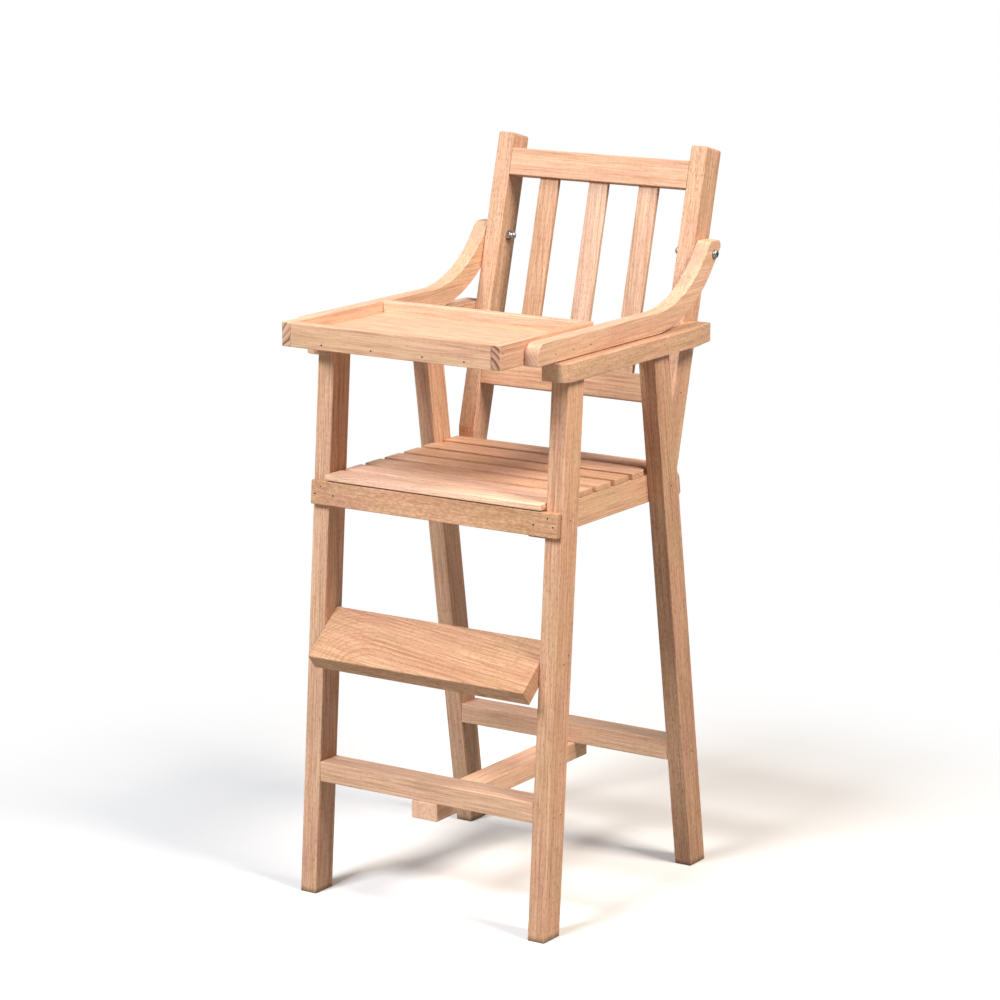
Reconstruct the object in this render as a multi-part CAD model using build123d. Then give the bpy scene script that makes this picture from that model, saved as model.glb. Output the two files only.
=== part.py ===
from build123d import *
import os
from math import cos, radians, sin, tan

# A doll high chair of beech boards, held with brads, with a tray that swings up and over the back.
# Sizes are in millimetres: X to the side, Y from front to back, Z up, right is +X.
# The origin lies on the floor, under the middle of the whole chair with its tray down.

# Boards
upright_thickness = 15.0
upright_width = 23.0
bar_width = 22.4
edge_radius = 0.8
overrun = 2.0

# Legs
leg_height = 436.0
legs_apart = 202.0
feet_apart = 226.2
front_leg_lean = 4.2
rear_leg_lean = 8.83

# Seat
seat_drop = 94.4
seat_slat_thickness = 5.0
seat_slat_gap = 5.7
seat_slat_count = 7
wide_slat_share = 1.19
wide_slat_corner_radius = 12.0
seat_slat_overhang = 1.3
seat_slat_end_gap = 0.3
front_apron_thickness = 5.4
front_apron_height = 19.2
front_apron_drop = 0.9
front_apron_end_inset = 1.0
rear_apron_thickness = 5.0
rear_apron_height = 20.0
rear_apron_drop = 0.3
rear_apron_end_inset = 1.5
rear_apron_corner_radius = 4.0

# Back
post_inset = 1.5
post_top_corner_radius = 2.2
post_top_rise = 84.4
back_lean = 14.44
post_cut_rise = 8.3
back_rail_thickness = 15.0
top_rail_drop = 12.7
bottom_rail_rise = 44.7
back_slat_width = 18.0
back_slat_thickness = 4.0
back_slat_setback = 4.5
back_slat_count = 3
back_slat_pitch = 47.3
back_slat_tenon = 6.0

# Armrests
armrest_width = 22.5
armrest_thickness = 15.0
armrest_front_overhang = 11.5
armrest_past_post = 17.4
armrest_front_radius = 8.0
armrest_taper_length = 29.0
armrest_taper_inset = 5.0

# Footrest, a plank that slopes down to the front
footrest_width = 51.0
footrest_thickness = 15.0
footrest_tilt = 39.5
footrest_height = 232.0
footrest_inset = 8.1

# Stretchers and the bar that joins them
stretcher_thickness = 16.5
stretcher_height = 92.4
middle_bar_width = 24.0
middle_bar_thickness = 14.5
middle_bar_front_reach = 0.5
middle_bar_rear_inset = 2.5

# Tray
tray_depth = 131.6
tray_overhang = 58.0
tray_rim_height = 19.1
tray_rim_thickness = 8.0
tray_panel_thickness = 10.0
tray_rest_gap = 0.5
tray_arm_drop = 0.6
tray_arm_thickness = 12.7
tray_arm_height = 17.0
tray_arm_setback = 32.5
tray_arm_front_radius = 9.0
tray_arm_bend = 50.0
tray_arm_bend_radius = 97.0
tray_arm_tip_rise = 10.6
tray_arm_tip_radius = 5.0
pivot_edge_distance = 5.7
pivot_rise = 53.6

# Pivot bolts with cap nuts
bolt_radius = 2.0
bolt_head_radius = 3.5
bolt_head_height = 2.6
bolt_head_round = 1.5
bolt_head_gap = 0.2
bolt_recess_length = 4.2
bolt_recess_width = 0.9
bolt_recess_depth = 1.3
nut_flat_radius = 3.5
nut_hex_height = 3.4
nut_dome_radius = 3.2
nut_height = 7.6
nut_bore_depth = 5.4
turning_gap = 0.3
turning_clearance = 0.05
fit_clearance = 0.02

# Brads, round wire pins driven a little below the surface
brad_radius = 0.75
brad_sink = 0.8
brad_length = 26.0
apron_brad_length = 16.0
edge_brad_length = 22.0

# Places of the brads
side_rail_brad_drop = 9.0
apron_brad_high_drop = 4.6
apron_brad_low_drop = 10.8
apron_brad_near_inset = 10.0
apron_brad_far_inset = 5.0
stretcher_brad_spread = 9.5
stretcher_brad_rise = 5.5
footrest_brad_spread = 9.0
footrest_brad_depth = 9.0
tray_arm_brad_pitch = 25.0
tray_arm_brad_rise = 6.5
tray_corner_brad_rise = 12.8
tray_edge_brad_rise = 4.0

# Places of the front rim's brads, as shares of the tray's half width
tray_brad_shares = (-0.68, -0.18, 0.33, 0.74)

# Heights and side faces that the pieces share
leg_inner_x = legs_apart / 2
leg_outer_x = leg_inner_x + upright_thickness
rail_inner_x = leg_inner_x - upright_thickness
rail_middle_x = leg_inner_x - upright_thickness / 2
seat_height = leg_height - seat_drop
slat_under_z = seat_height - seat_slat_thickness
side_rail_low_z = slat_under_z - bar_width
post_outer_x = leg_inner_x - post_inset
post_inner_x = post_outer_x - upright_thickness
armrest_top_z = leg_height + armrest_thickness
pivot_z = armrest_top_z + pivot_rise
post_top_z = pivot_z + post_top_rise
bottom_rail_z = seat_height + bottom_rail_rise

# Level depths of the leaning boards
front_leg_depth = upright_width / cos(radians(front_leg_lean))
rear_leg_depth = upright_width / cos(radians(rear_leg_lean))
rear_apron_depth = rear_apron_thickness / cos(radians(rear_leg_lean))
post_depth = upright_width / cos(radians(back_lean))
post_top_depth = upright_width * cos(radians(back_lean))

# The front feet stand where the tray's front edge and the rounded rear top of the posts
# come out equally far from the origin
rear_apron_top_z = slat_under_z - rear_apron_drop
rear_apron_low_z = rear_apron_top_z - rear_apron_height
post_cut_z = seat_height + post_cut_rise
post_top_rounding = edge_radius * (cos(radians(back_lean)) + sin(radians(back_lean)) - 1)
tray_reach = leg_height * tan(radians(front_leg_lean)) - armrest_front_overhang - tray_overhang
rear_apron_reach = feet_apart + rear_leg_depth + rear_apron_depth
post_cut_reach = rear_apron_reach - rear_apron_low_z * tan(radians(rear_leg_lean))
post_top_reach = (post_top_z - post_cut_z) * tan(radians(back_lean)) + post_top_depth - post_top_rounding
front_foot_y = -(tray_reach + post_cut_reach + post_top_reach) / 2
rear_foot_y = front_foot_y + feet_apart


def front_leg_y(z):
    # Front face of the front legs at a height.
    return front_foot_y + z * tan(radians(front_leg_lean))


def rear_leg_y(z):
    # Front face of the rear legs at a height.
    return rear_foot_y - z * tan(radians(rear_leg_lean))


def rear_apron_y(z):
    # Rear face of the rear apron at a height.
    return rear_leg_y(z) + rear_leg_depth + rear_apron_depth


# The posts lie on the rear apron and are cut upright behind the last slat
post_cut_y = rear_apron_y(rear_apron_low_z)


def post_y(z):
    # Front face of the back posts at a height.
    return post_cut_y + (z - post_cut_z) * tan(radians(back_lean))


def leaning(y, z, lean):
    # A plane through a point on a leaning face. Its x is to the side, its y up the face, its z forwards.
    return Plane(origin=(0, y, z), x_dir=(1, 0, 0), z_dir=(0, -cos(radians(lean)), sin(radians(lean))))


# Planes on the front faces of the back, and on the faces that carry the aprons
back_plane = leaning(post_cut_y, post_cut_z, back_lean)
front_apron_top_z = slat_under_z - front_apron_drop
front_face_z = front_apron_top_z - front_apron_thickness * sin(radians(front_leg_lean))
front_apron_plane = leaning(front_leg_y(front_face_z), front_face_z, front_leg_lean)
rear_face_z = rear_apron_top_z - rear_apron_thickness * sin(radians(rear_leg_lean))
rear_apron_plane = leaning(rear_leg_y(rear_face_z) + rear_leg_depth, rear_face_z, -rear_leg_lean)
top_rail_high = (post_top_z - post_cut_z) / cos(radians(back_lean)) - top_rail_drop
top_rail_low = top_rail_high - bar_width
bottom_rail_low = (bottom_rail_z - post_cut_z) / cos(radians(back_lean))
bottom_rail_high = bottom_rail_low + bar_width

# Seat slats fill the depth from the front apron to the posts. The last but one is wider than the rest.
first_slat_y = front_leg_y(front_apron_top_z) - front_apron_thickness - seat_slat_overhang
seat_depth = post_cut_y - first_slat_y
narrow_slats = seat_slat_count - 1
seat_slat_width = (seat_depth - narrow_slats * seat_slat_gap) / (narrow_slats + wide_slat_share)
seat_slat_pitch = seat_slat_width + seat_slat_gap
wide_slat_width = seat_slat_width * wide_slat_share

# Armrest ends
armrest_front_y = front_leg_y(leg_height) - armrest_front_overhang
armrest_rear_y = post_y(leg_height) + armrest_past_post
armrest_outer_x = post_outer_x + armrest_width

# Tray and its arms, level with the armrests
tray_outer_x = post_outer_x + turning_gap
tray_inner_x = tray_outer_x - tray_rim_thickness
tray_arm_outer_x = tray_outer_x + tray_arm_thickness
tray_front_y = armrest_front_y - tray_overhang
tray_rear_y = tray_front_y + tray_depth
tray_arm_low_z = armrest_top_z + tray_rest_gap
tray_low_z = tray_arm_low_z + tray_arm_drop
tray_top_z = tray_low_z + tray_rim_height
tray_arm_front_y = tray_front_y + tray_arm_setback
pivot_y = post_y(pivot_z) + post_depth / 2

low_corner = (Align.MIN, Align.MIN, Align.MIN)
on_axis = (Align.CENTER, Align.CENTER, Align.MIN)


def block(lows, highs):
    # A rectangular board between two corners.
    sizes = [high - low for low, high in zip(lows, highs)]
    return Pos(*lows) * Box(*sizes, align=low_corner)


def profile(points, low_x, high_x):
    # A board cut to an outline of (y, z) points, between two side faces.
    outline = make_face(Polyline(*points, close=True))
    return extrude(Plane.YZ.offset(low_x) * outline, amount=high_x - low_x)


def eased(board):
    # Every edge of a board is rounded over by hand.
    return fillet(board.edges(), edge_radius)


def mirrored(board):
    # The left piece of a pair.
    return mirror(board, about=Plane.YZ)


def front_leg():
    # A right front leg, its ends cut level.
    foot = front_leg_y(0)
    top = front_leg_y(leg_height)
    points = [(foot, 0), (foot + front_leg_depth, 0), (top + front_leg_depth, leg_height), (top, leg_height)]
    return eased(profile(points, leg_inner_x, leg_outer_x))


def rear_leg():
    # A right rear leg, leaning forwards, its ends cut level.
    foot = rear_leg_y(0)
    top = rear_leg_y(leg_height)
    points = [(foot, 0), (foot + rear_leg_depth, 0), (top + rear_leg_depth, leg_height), (top, leg_height)]
    return eased(profile(points, leg_inner_x, leg_outer_x))


def front_apron():
    # A thin board across the front legs.
    end_x = leg_outer_x - front_apron_end_inset
    board = block((-end_x, -front_apron_height, 0), (end_x, 0, front_apron_thickness))
    return front_apron_plane * eased(board)


def rear_apron():
    # A thin board across the backs of the rear legs, with round corners.
    end_x = leg_outer_x - rear_apron_end_inset
    board = block((-end_x, -rear_apron_height, -rear_apron_thickness), (end_x, 0, 0))
    corners = board.edges().filter_by(Axis.Z)
    board = fillet(corners, rear_apron_corner_radius)
    board = fillet(board.faces().sort_by(Axis.Z)[-1].edges(), edge_radius)
    board = fillet(board.faces().sort_by(Axis.Z)[0].edges(), edge_radius)
    return rear_apron_plane * board


def side_rail():
    # A right side rail from the front apron to the rear one, its ends cut to lean with the legs.
    points = [
        (front_leg_y(side_rail_low_z), side_rail_low_z),
        (rear_leg_y(side_rail_low_z) + rear_leg_depth, side_rail_low_z),
        (rear_leg_y(slat_under_z) + rear_leg_depth, slat_under_z),
        (front_leg_y(slat_under_z), slat_under_z),
    ]
    return eased(profile(points, rail_inner_x, leg_inner_x))


def seat_slat(number):
    # A slat of the seat, counted from the front. The last ends at the posts.
    end_x = leg_inner_x - seat_slat_end_gap
    low_y = first_slat_y + number * seat_slat_pitch
    if number == narrow_slats:
        low_y = post_cut_y - seat_slat_width
    high_y = low_y + seat_slat_width
    return eased(block((-end_x, low_y, slat_under_z), (end_x, high_y, seat_height)))


def wide_seat_slat():
    # The last but one slat of the seat is wider, with round rear corners.
    end_x = leg_inner_x - seat_slat_end_gap
    high_y = post_cut_y - seat_slat_pitch
    board = block((-end_x, high_y - wide_slat_width, slat_under_z), (end_x, high_y, seat_height))
    upright = board.edges().filter_by(Axis.Z).sort_by(Axis.Y)
    board = fillet(upright[:2], edge_radius)
    upright = board.edges().filter_by(Axis.Z).sort_by(Axis.Y)
    board = fillet(upright[-2:], wide_slat_corner_radius)
    return fillet(board.faces().filter_by(Axis.Z).edges(), edge_radius)


def back_post():
    # A right back post. Its foot is planed to lie on the rear apron, and its top is cut square.
    top_y = post_y(post_top_z)
    points = [
        (rear_apron_y(rear_apron_low_z), rear_apron_low_z),
        (post_y(rear_apron_low_z) + post_depth, rear_apron_low_z),
        (top_y + post_top_depth, post_top_z - upright_width * sin(radians(back_lean))),
        (top_y, post_top_z),
        (post_cut_y, post_cut_z),
        (post_cut_y, slat_under_z),
        (rear_apron_y(slat_under_z), slat_under_z),
    ]
    board = profile(points, post_inner_x, post_outer_x)
    corners = board.faces().sort_by(Axis.Z)[-1].edges().filter_by(Axis.X, reverse=True)
    board = fillet(corners, post_top_corner_radius)
    down_post = (0, -cos(radians(back_lean)), sin(radians(back_lean)))
    sharp = board.edges().filter_by(Axis((0, 0, 0), down_post), reverse=True)
    return fillet(sharp, edge_radius)


def back_rail(low):
    # A rail between the posts, flush with their front faces.
    board = block((-post_inner_x, low, -back_rail_thickness), (post_inner_x, low + bar_width, 0))
    return eased(board)


def back_slat_x(number):
    # The middle of a back slat, counted from the left.
    return (number - (back_slat_count - 1) / 2) * back_slat_pitch


def back_slat(number, clearance=0):
    # A thin slat with its ends let into the two rails. With a clearance it is the cut for its mortises.
    half = back_slat_width / 2 + clearance
    middle = back_slat_x(number)
    low = bottom_rail_high - back_slat_tenon - clearance
    high = top_rail_low + back_slat_tenon + clearance
    rear = -back_slat_setback - back_slat_thickness - clearance
    return block((middle - half, low, rear), (middle + half, high, clearance - back_slat_setback))


def armrest():
    # A right armrest with a round outer front corner and a tapered outer rear edge.
    points = [
        (post_outer_x, armrest_front_y),
        (armrest_outer_x, armrest_front_y),
        (armrest_outer_x, armrest_rear_y - armrest_taper_length),
        (armrest_outer_x - armrest_taper_inset, armrest_rear_y),
        (post_outer_x, armrest_rear_y),
    ]
    radii = [0, armrest_front_radius, armrest_taper_length, edge_radius, 0]
    outline = make_face(FilletPolyline(*points, radius=radii, close=True))
    board = extrude(Pos(0, 0, leg_height) * outline, amount=armrest_thickness)
    board = fillet(board.faces().sort_by(Axis.Z)[-1].edges(), edge_radius)
    return fillet(board.faces().sort_by(Axis.Z)[0].edges(), edge_radius)


footrest_rear_y = front_leg_y(footrest_height) + front_leg_depth - footrest_inset
footrest_plane = Plane(
    origin=(0, footrest_rear_y, footrest_height),
    x_dir=(1, 0, 0),
    z_dir=(0, -sin(radians(footrest_tilt)), cos(radians(footrest_tilt))),
)


def footrest():
    # A sloping plank between the front legs. Its plane's origin is its top rear edge.
    board = block((-leg_inner_x, -footrest_width, -footrest_thickness), (leg_inner_x, 0, 0))
    return footrest_plane * eased(board)


stretcher_middle_z = stretcher_height + stretcher_thickness / 2
front_stretcher_y = front_leg_y(stretcher_middle_z) + (front_leg_depth - bar_width) / 2
rear_stretcher_y = rear_leg_y(stretcher_middle_z) + (rear_leg_depth - bar_width) / 2


def stretcher(low_y):
    # A flat bar between two legs.
    high_z = stretcher_height + stretcher_thickness
    return eased(block((-leg_inner_x, low_y, stretcher_height), (leg_inner_x, low_y + bar_width, high_z)))


def middle_bar():
    # A flat bar under the two stretchers, from front to back.
    front_y = front_stretcher_y - middle_bar_front_reach
    rear_y = rear_stretcher_y + bar_width - middle_bar_rear_inset
    low_z = stretcher_height - middle_bar_thickness
    half = middle_bar_width / 2
    return eased(block((-half, front_y, low_z), (half, rear_y, stretcher_height)))


def tray_side_rim():
    # A right rim of the tray, over its full depth.
    lows = (tray_inner_x, tray_front_y, tray_low_z)
    return eased(block(lows, (tray_outer_x, tray_rear_y, tray_top_z)))


def tray_cross_rim(low_y):
    # A front or rear rim, between the side rims.
    lows = (-tray_inner_x, low_y, tray_low_z)
    return eased(block(lows, (tray_inner_x, low_y + tray_rim_thickness, tray_top_z)))


def tray_panel():
    # The tray's floor, flush with the rims underneath.
    low_y = tray_front_y + tray_rim_thickness
    high_y = tray_rear_y - tray_rim_thickness
    high_z = tray_low_z + tray_panel_thickness
    return block((-tray_inner_x, low_y, tray_low_z), (tray_inner_x, high_y, high_z))


def tray_arm():
    # A right tray arm: a board of one height, straight along the tray and bent up once to the pivot.
    rise = pivot_z - tray_arm_low_z
    slope = tan(radians(tray_arm_bend))
    top_z = pivot_z + tray_arm_tip_rise
    straight_top_z = tray_arm_low_z + tray_arm_height
    low_bend_y = pivot_y - rise / slope + pivot_edge_distance / sin(radians(tray_arm_bend))
    high_bend_y = low_bend_y - tray_arm_height * tan(radians(tray_arm_bend / 2))
    points = [
        (tray_arm_front_y, tray_arm_low_z),
        (low_bend_y, tray_arm_low_z),
        (low_bend_y + (top_z - tray_arm_low_z) / slope, top_z),
        (high_bend_y + (top_z - straight_top_z) / slope, top_z),
        (high_bend_y, straight_top_z),
        (tray_arm_front_y, straight_top_z),
    ]
    radii = [
        edge_radius,
        tray_arm_bend_radius + tray_arm_height,
        tray_arm_tip_radius,
        tray_arm_tip_radius,
        tray_arm_bend_radius,
        tray_arm_front_radius,
    ]
    outline = make_face(FilletPolyline(*points, radius=radii, close=True))
    board = extrude(Plane.YZ.offset(tray_outer_x) * outline, amount=tray_arm_thickness)
    board = fillet(board.faces().sort_by(Axis.X)[-1].edges(), edge_radius)
    board = fillet(board.faces().sort_by(Axis.X)[0].edges(), edge_radius)
    return board - pivot_bore(turning_clearance)


def pivot_bore(clearance):
    # The bore for a pivot bolt, through the post and the tray arm.
    length = tray_arm_outer_x - post_inner_x + 2 * overrun
    axis = Plane(origin=(post_inner_x - overrun, pivot_y, pivot_z), z_dir=(1, 0, 0))
    return axis * Cylinder(bolt_radius + clearance, length, align=on_axis)


def pivot_bolt():
    # A right pivot bolt: a round head with a cross recess outside the arm, and a shank into the cap nut.
    head_x = tray_arm_outer_x + bolt_head_gap
    axis = Plane(origin=(head_x, pivot_y, pivot_z), z_dir=(1, 0, 0))
    head = Cylinder(bolt_head_radius, bolt_head_height, align=on_axis)
    head = fillet(head.edges().sort_by(Axis.Z)[-1], bolt_head_round)
    slot = Box(bolt_recess_length, bolt_recess_width, bolt_recess_depth + overrun, align=on_axis)
    slot = Pos(0, 0, bolt_head_height - bolt_recess_depth) * slot
    head = head - slot - Rot(0, 0, 90) * slot
    shank_length = head_x - post_inner_x + nut_bore_depth - 2 * fit_clearance
    shank = Pos(0, 0, -shank_length) * Cylinder(bolt_radius, shank_length, align=on_axis)
    return axis * (head + shank)


def pivot_nut():
    # A right cap nut on the inner face of the post.
    axis = Plane(origin=(post_inner_x, pivot_y, pivot_z), z_dir=(-1, 0, 0))
    body = extrude(RegularPolygon(nut_flat_radius, 6, major_radius=False), amount=nut_hex_height)
    dome = Cylinder(nut_dome_radius, nut_height, align=on_axis)
    dome = fillet(dome.edges().sort_by(Axis.Z)[-1], nut_dome_radius * 0.9)
    bore = Cylinder(bolt_radius + fit_clearance, nut_bore_depth + overrun, align=on_axis)
    return axis * (body + dome - Pos(0, 0, -overrun) * bore)


# Boards, bolts and nuts by the name of their node, and brads by the name of their group
boards = {}
brads = {}


def add_pair(name, board):
    # A right piece and its mirror image.
    boards[name + "_right"] = board
    boards[name + "_left"] = mirrored(board)


def drive(group, point, direction, length, held):
    # A brad, and its bore through the boards that it holds.
    axis = Plane(origin=point, z_dir=direction)
    pin = Pos(0, 0, brad_sink) * Cylinder(brad_radius, length - brad_sink, align=on_axis)
    bore = Cylinder(brad_radius + fit_clearance, length + overrun + fit_clearance, align=on_axis)
    brads.setdefault(group, []).append(axis * pin)
    for name in held:
        boards[name] = boards[name] - axis * (Pos(0, 0, -overrun) * bore)


def drive_pair(group, point, direction, length, held):
    # The same brad on both sides. Names in held that end in _ take the side.
    for side, word in ((1, "right"), (-1, "left")):
        names = [name + word if name.endswith("_") else name for name in held]
        place = Vector(side * Vector(point).X, Vector(point).Y, Vector(point).Z)
        aim = Vector(side * Vector(direction).X, Vector(direction).Y, Vector(direction).Z)
        drive(group, place, aim, length, names)


def make_boards():
    # Every board of the chair and the tray, and the pivot bolts.
    add_pair("front_leg", front_leg())
    add_pair("rear_leg", rear_leg())
    add_pair("side_rail", side_rail())
    add_pair("back_post", back_post() - pivot_bore(fit_clearance))
    add_pair("armrest", armrest())
    add_pair("tray_arm", tray_arm())
    add_pair("tray_side_rim", tray_side_rim())
    add_pair("pivot_bolt", pivot_bolt())
    add_pair("pivot_nut", pivot_nut())
    boards["front_apron"] = front_apron()
    boards["rear_apron"] = rear_apron()
    boards["footrest"] = footrest()
    boards["front_stretcher"] = stretcher(front_stretcher_y)
    boards["rear_stretcher"] = stretcher(rear_stretcher_y)
    boards["middle_bar"] = middle_bar()
    boards["tray_front_rim"] = tray_cross_rim(tray_front_y)
    boards["tray_rear_rim"] = tray_cross_rim(tray_rear_y - tray_rim_thickness)
    boards["tray_panel"] = tray_panel()
    for number in range(seat_slat_count):
        boards[f"seat_slat_{number + 1}"] = seat_slat(number)
    boards[f"seat_slat_{narrow_slats}"] = wide_seat_slat()
    top_rail = back_rail(top_rail_low)
    bottom_rail = back_rail(bottom_rail_low)
    for number in range(back_slat_count):
        mortise = back_slat(number, fit_clearance)
        top_rail = top_rail - mortise
        bottom_rail = bottom_rail - mortise
        boards[f"back_slat_{number + 1}"] = back_plane * back_slat(number)
    boards["top_back_rail"] = back_plane * top_rail
    boards["bottom_back_rail"] = back_plane * bottom_rail


def drive_seat_brads():
    # Brads of the seat frame: legs to side rails, and aprons to legs and rails.
    rail_brad_z = slat_under_z - side_rail_brad_drop
    front_y = front_leg_y(rail_brad_z) + front_leg_depth / 2
    rear_y = rear_leg_y(rail_brad_z) + rear_leg_depth / 2
    for name, y in (("front_leg_", front_y), ("rear_leg_", rear_y)):
        place = (leg_outer_x, y, rail_brad_z)
        drive_pair("side_rail_brads", place, (-1, 0, 0), brad_length, [name, "side_rail_"])
    near_x = leg_outer_x - apron_brad_near_inset
    far_x = leg_outer_x - apron_brad_far_inset
    places = ((near_x, apron_brad_high_drop, "front_leg_"), (far_x, apron_brad_low_drop, "front_leg_"))
    places = places + ((rail_middle_x, apron_brad_low_drop, "side_rail_"),)
    into_front = -front_apron_plane.z_dir
    for x, drop, name in places:
        point = front_apron_plane.from_local_coords((x, -drop, front_apron_thickness))
        drive_pair("front_apron_brads", point, into_front, apron_brad_length, ["front_apron", name])
    into_rear = rear_apron_plane.z_dir
    places = ((near_x, apron_brad_high_drop, "rear_leg_"), (far_x, apron_brad_low_drop, "rear_leg_"))
    for x, drop, name in places:
        point = rear_apron_plane.from_local_coords((x, -drop, -rear_apron_thickness))
        drive_pair("rear_apron_brads", point, into_rear, apron_brad_length, ["rear_apron", name])


def drive_back_brads():
    # Brads of the back: posts to rails, posts to the rear apron, armrests to legs.
    for low in (top_rail_low, bottom_rail_low):
        place = back_plane.from_local_coords((post_outer_x, low + bar_width / 2, -upright_width / 2))
        name = "top_back_rail" if low == top_rail_low else "bottom_back_rail"
        drive_pair("back_rail_brads", place, (-1, 0, 0), brad_length, ["back_post_", name])
    foot_z = rear_apron_low_z + rear_apron_height / 2
    place = (post_outer_x - upright_thickness / 2, post_y(foot_z) + post_depth, foot_z)
    drive_pair("back_post_brads", place, (0, -1, 0), edge_brad_length, ["back_post_", "rear_apron"])
    leg_middle_x = leg_inner_x + upright_thickness / 2
    for name, y in (("front_leg_", front_leg_y(leg_height) + front_leg_depth / 2),
                    ("rear_leg_", rear_leg_y(leg_height) + rear_leg_depth / 2)):
        place = (leg_middle_x, y, armrest_top_z)
        drive_pair("armrest_brads", place, (0, 0, -1), brad_length, ["armrest_", name])


def drive_lower_brads():
    # Brads of the footrest, the stretchers and the middle bar.
    inwards = (-1, 0, 0)
    for step in (-0.5, 0.5):
        along = footrest_brad_spread * step - footrest_inset - edge_radius
        place = footrest_plane.from_local_coords((leg_outer_x, along, -footrest_brad_depth))
        drive_pair("footrest_brads", place, inwards, brad_length, ["front_leg_", "footrest"])
        across = stretcher_brad_spread * step + bar_width / 2
        for name, low_y in (("front", front_stretcher_y), ("rear", rear_stretcher_y)):
            place = (leg_outer_x, low_y + across, stretcher_height + stretcher_brad_rise)
            drive_pair("stretcher_brads", place, inwards, brad_length, [name + "_leg_", name + "_stretcher"])
    low_z = stretcher_height - middle_bar_thickness
    for name, low_y in (("front_stretcher", front_stretcher_y), ("rear_stretcher", rear_stretcher_y)):
        place = (middle_bar_width / 4, low_y + bar_width / 2, low_z)
        drive_pair("middle_bar_brads", place, (0, 0, 1), edge_brad_length, ["middle_bar", name])


def drive_tray_brads():
    # Brads of the tray: through the side rims, the cross rims and the arms.
    inwards = (-1, 0, 0)
    edge_z = tray_low_z + tray_edge_brad_rise
    corner_z = tray_low_z + tray_corner_brad_rise
    front_y = tray_front_y + tray_rim_thickness / 2
    rear_y = tray_rear_y - tray_rim_thickness / 2
    for name, y in (("tray_front_rim", front_y), ("tray_rear_rim", rear_y)):
        place = (tray_outer_x, y, corner_z)
        drive_pair("tray_rim_brads", place, inwards, edge_brad_length, ["tray_side_rim_", name])
    place = (tray_outer_x, tray_front_y + tray_arm_setback, edge_z)
    drive_pair("tray_panel_brads", place, inwards, edge_brad_length, ["tray_side_rim_", "tray_panel"])
    for share in tray_brad_shares:
        for name, y, aim in (("tray_front_rim", tray_front_y, 1), ("tray_rear_rim", tray_rear_y, -1)):
            place = (share * tray_inner_x, y, edge_z)
            drive("tray_panel_brads", place, (0, aim, 0), edge_brad_length, [name, "tray_panel"])
    middle = (tray_arm_front_y + tray_rear_y) / 2
    for step in (-1, 0, 1):
        place = (tray_arm_outer_x, middle + step * tray_arm_brad_pitch, tray_arm_low_z + tray_arm_brad_rise)
        held = ["tray_arm_", "tray_side_rim_", "tray_panel"]
        drive_pair("tray_arm_brads", place, inwards, brad_length, held)


def main():
    os.makedirs("parts", exist_ok=True)
    make_boards()
    drive_seat_brads()
    drive_back_brads()
    drive_lower_brads()
    drive_tray_brads()
    nodes = dict(boards)
    for group, pins in brads.items():
        nodes[group] = Compound(pins)
    for name, solid in nodes.items():
        export_step(solid, f"parts/{name}.step")


main()
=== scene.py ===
import math

import bpy
from mathutils import Euler, Matrix, Vector


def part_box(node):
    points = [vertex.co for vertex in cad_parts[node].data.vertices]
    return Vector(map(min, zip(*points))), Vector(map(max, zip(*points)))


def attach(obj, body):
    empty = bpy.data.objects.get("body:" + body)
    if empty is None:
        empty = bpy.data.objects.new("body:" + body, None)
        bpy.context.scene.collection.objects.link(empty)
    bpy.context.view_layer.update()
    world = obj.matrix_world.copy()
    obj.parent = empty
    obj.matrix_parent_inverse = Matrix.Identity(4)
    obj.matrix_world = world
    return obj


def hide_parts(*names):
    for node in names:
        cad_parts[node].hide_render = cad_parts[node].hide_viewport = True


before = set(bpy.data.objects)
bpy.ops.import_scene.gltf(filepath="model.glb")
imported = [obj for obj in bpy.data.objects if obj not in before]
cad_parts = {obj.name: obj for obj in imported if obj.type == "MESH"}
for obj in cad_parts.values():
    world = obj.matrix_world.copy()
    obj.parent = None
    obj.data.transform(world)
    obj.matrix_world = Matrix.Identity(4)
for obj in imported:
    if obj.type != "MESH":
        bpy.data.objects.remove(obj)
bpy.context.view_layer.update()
mm = 0.001
print("frame loaded:", len(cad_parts), "nodes")

# Bare beech: planed, sanded, a little dirty. These are its colours and the sizes of its figure.
beech = {
    "lightWood": "#ECC6A5",      # early wood
    "darkWood": "#B78568",       # late wood, the darker edge of a growth ring
    "pinkWood": "#DBAB8F",       # steamed beech has pink clouds
    "fleck": "#95603F",          # medullary rays cut across
    "streak": "#A06F4C",         # mineral lines along the fibres
    "endWood": "#C29A80",        # end grain, which soaks up dirt and shades itself
    "endRing": "#7E5238",        # its rings
    "footDark": "#4A3B30",       # colour the feet darken to at the bottom, next to the floor
    "footDarkHeight": 3.5,       # mm
    "footDarkShare": 0.75,
    "trunkStep": 7.3,            # mm, keeps the boards apart along the trunk that they are cut from
    "trunkLength": 900,          # mm
    "fibreLength": 28.0,         # mm
    "fibreWidth": 0.9,           # mm, coarser than real fibres so that they show
    "fleckLength": 5.2,          # mm between flecks along the grain
    "fleckWidth": 1.0,           # mm between flecks across it, coarser than real so that they show
    "flakeSize": (4.4, 2.1),     # mm, silvery flakes where the rays lie in the surface
    "flakeTurn": (0.35, 0.42, 0.42),  # radians, how their rows slant
    "roughness": 0.55,
    "endRoughness": 0.18,        # how much rougher the end grain is
    "specular": 0.35,
    "bumpDepth": 0.07,           # mm
    "bumpStrength": 0.6,
}

# The parts of its figure. Size is length along the grain and width across it in mm; range is where the
# noise begins and ends to show; share is how much of it shows at most.
figure = {
    "bands": {"size": (150, 3.2), "range": (0.38, 0.68), "share": 0.32},
    "pinks": {"size": (48, 9), "range": (0.42, 0.68), "share": 0.34},
    "lines": {"size": (190, 1.7), "range": (0.64, 0.74), "share": 0.45},
}
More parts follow.
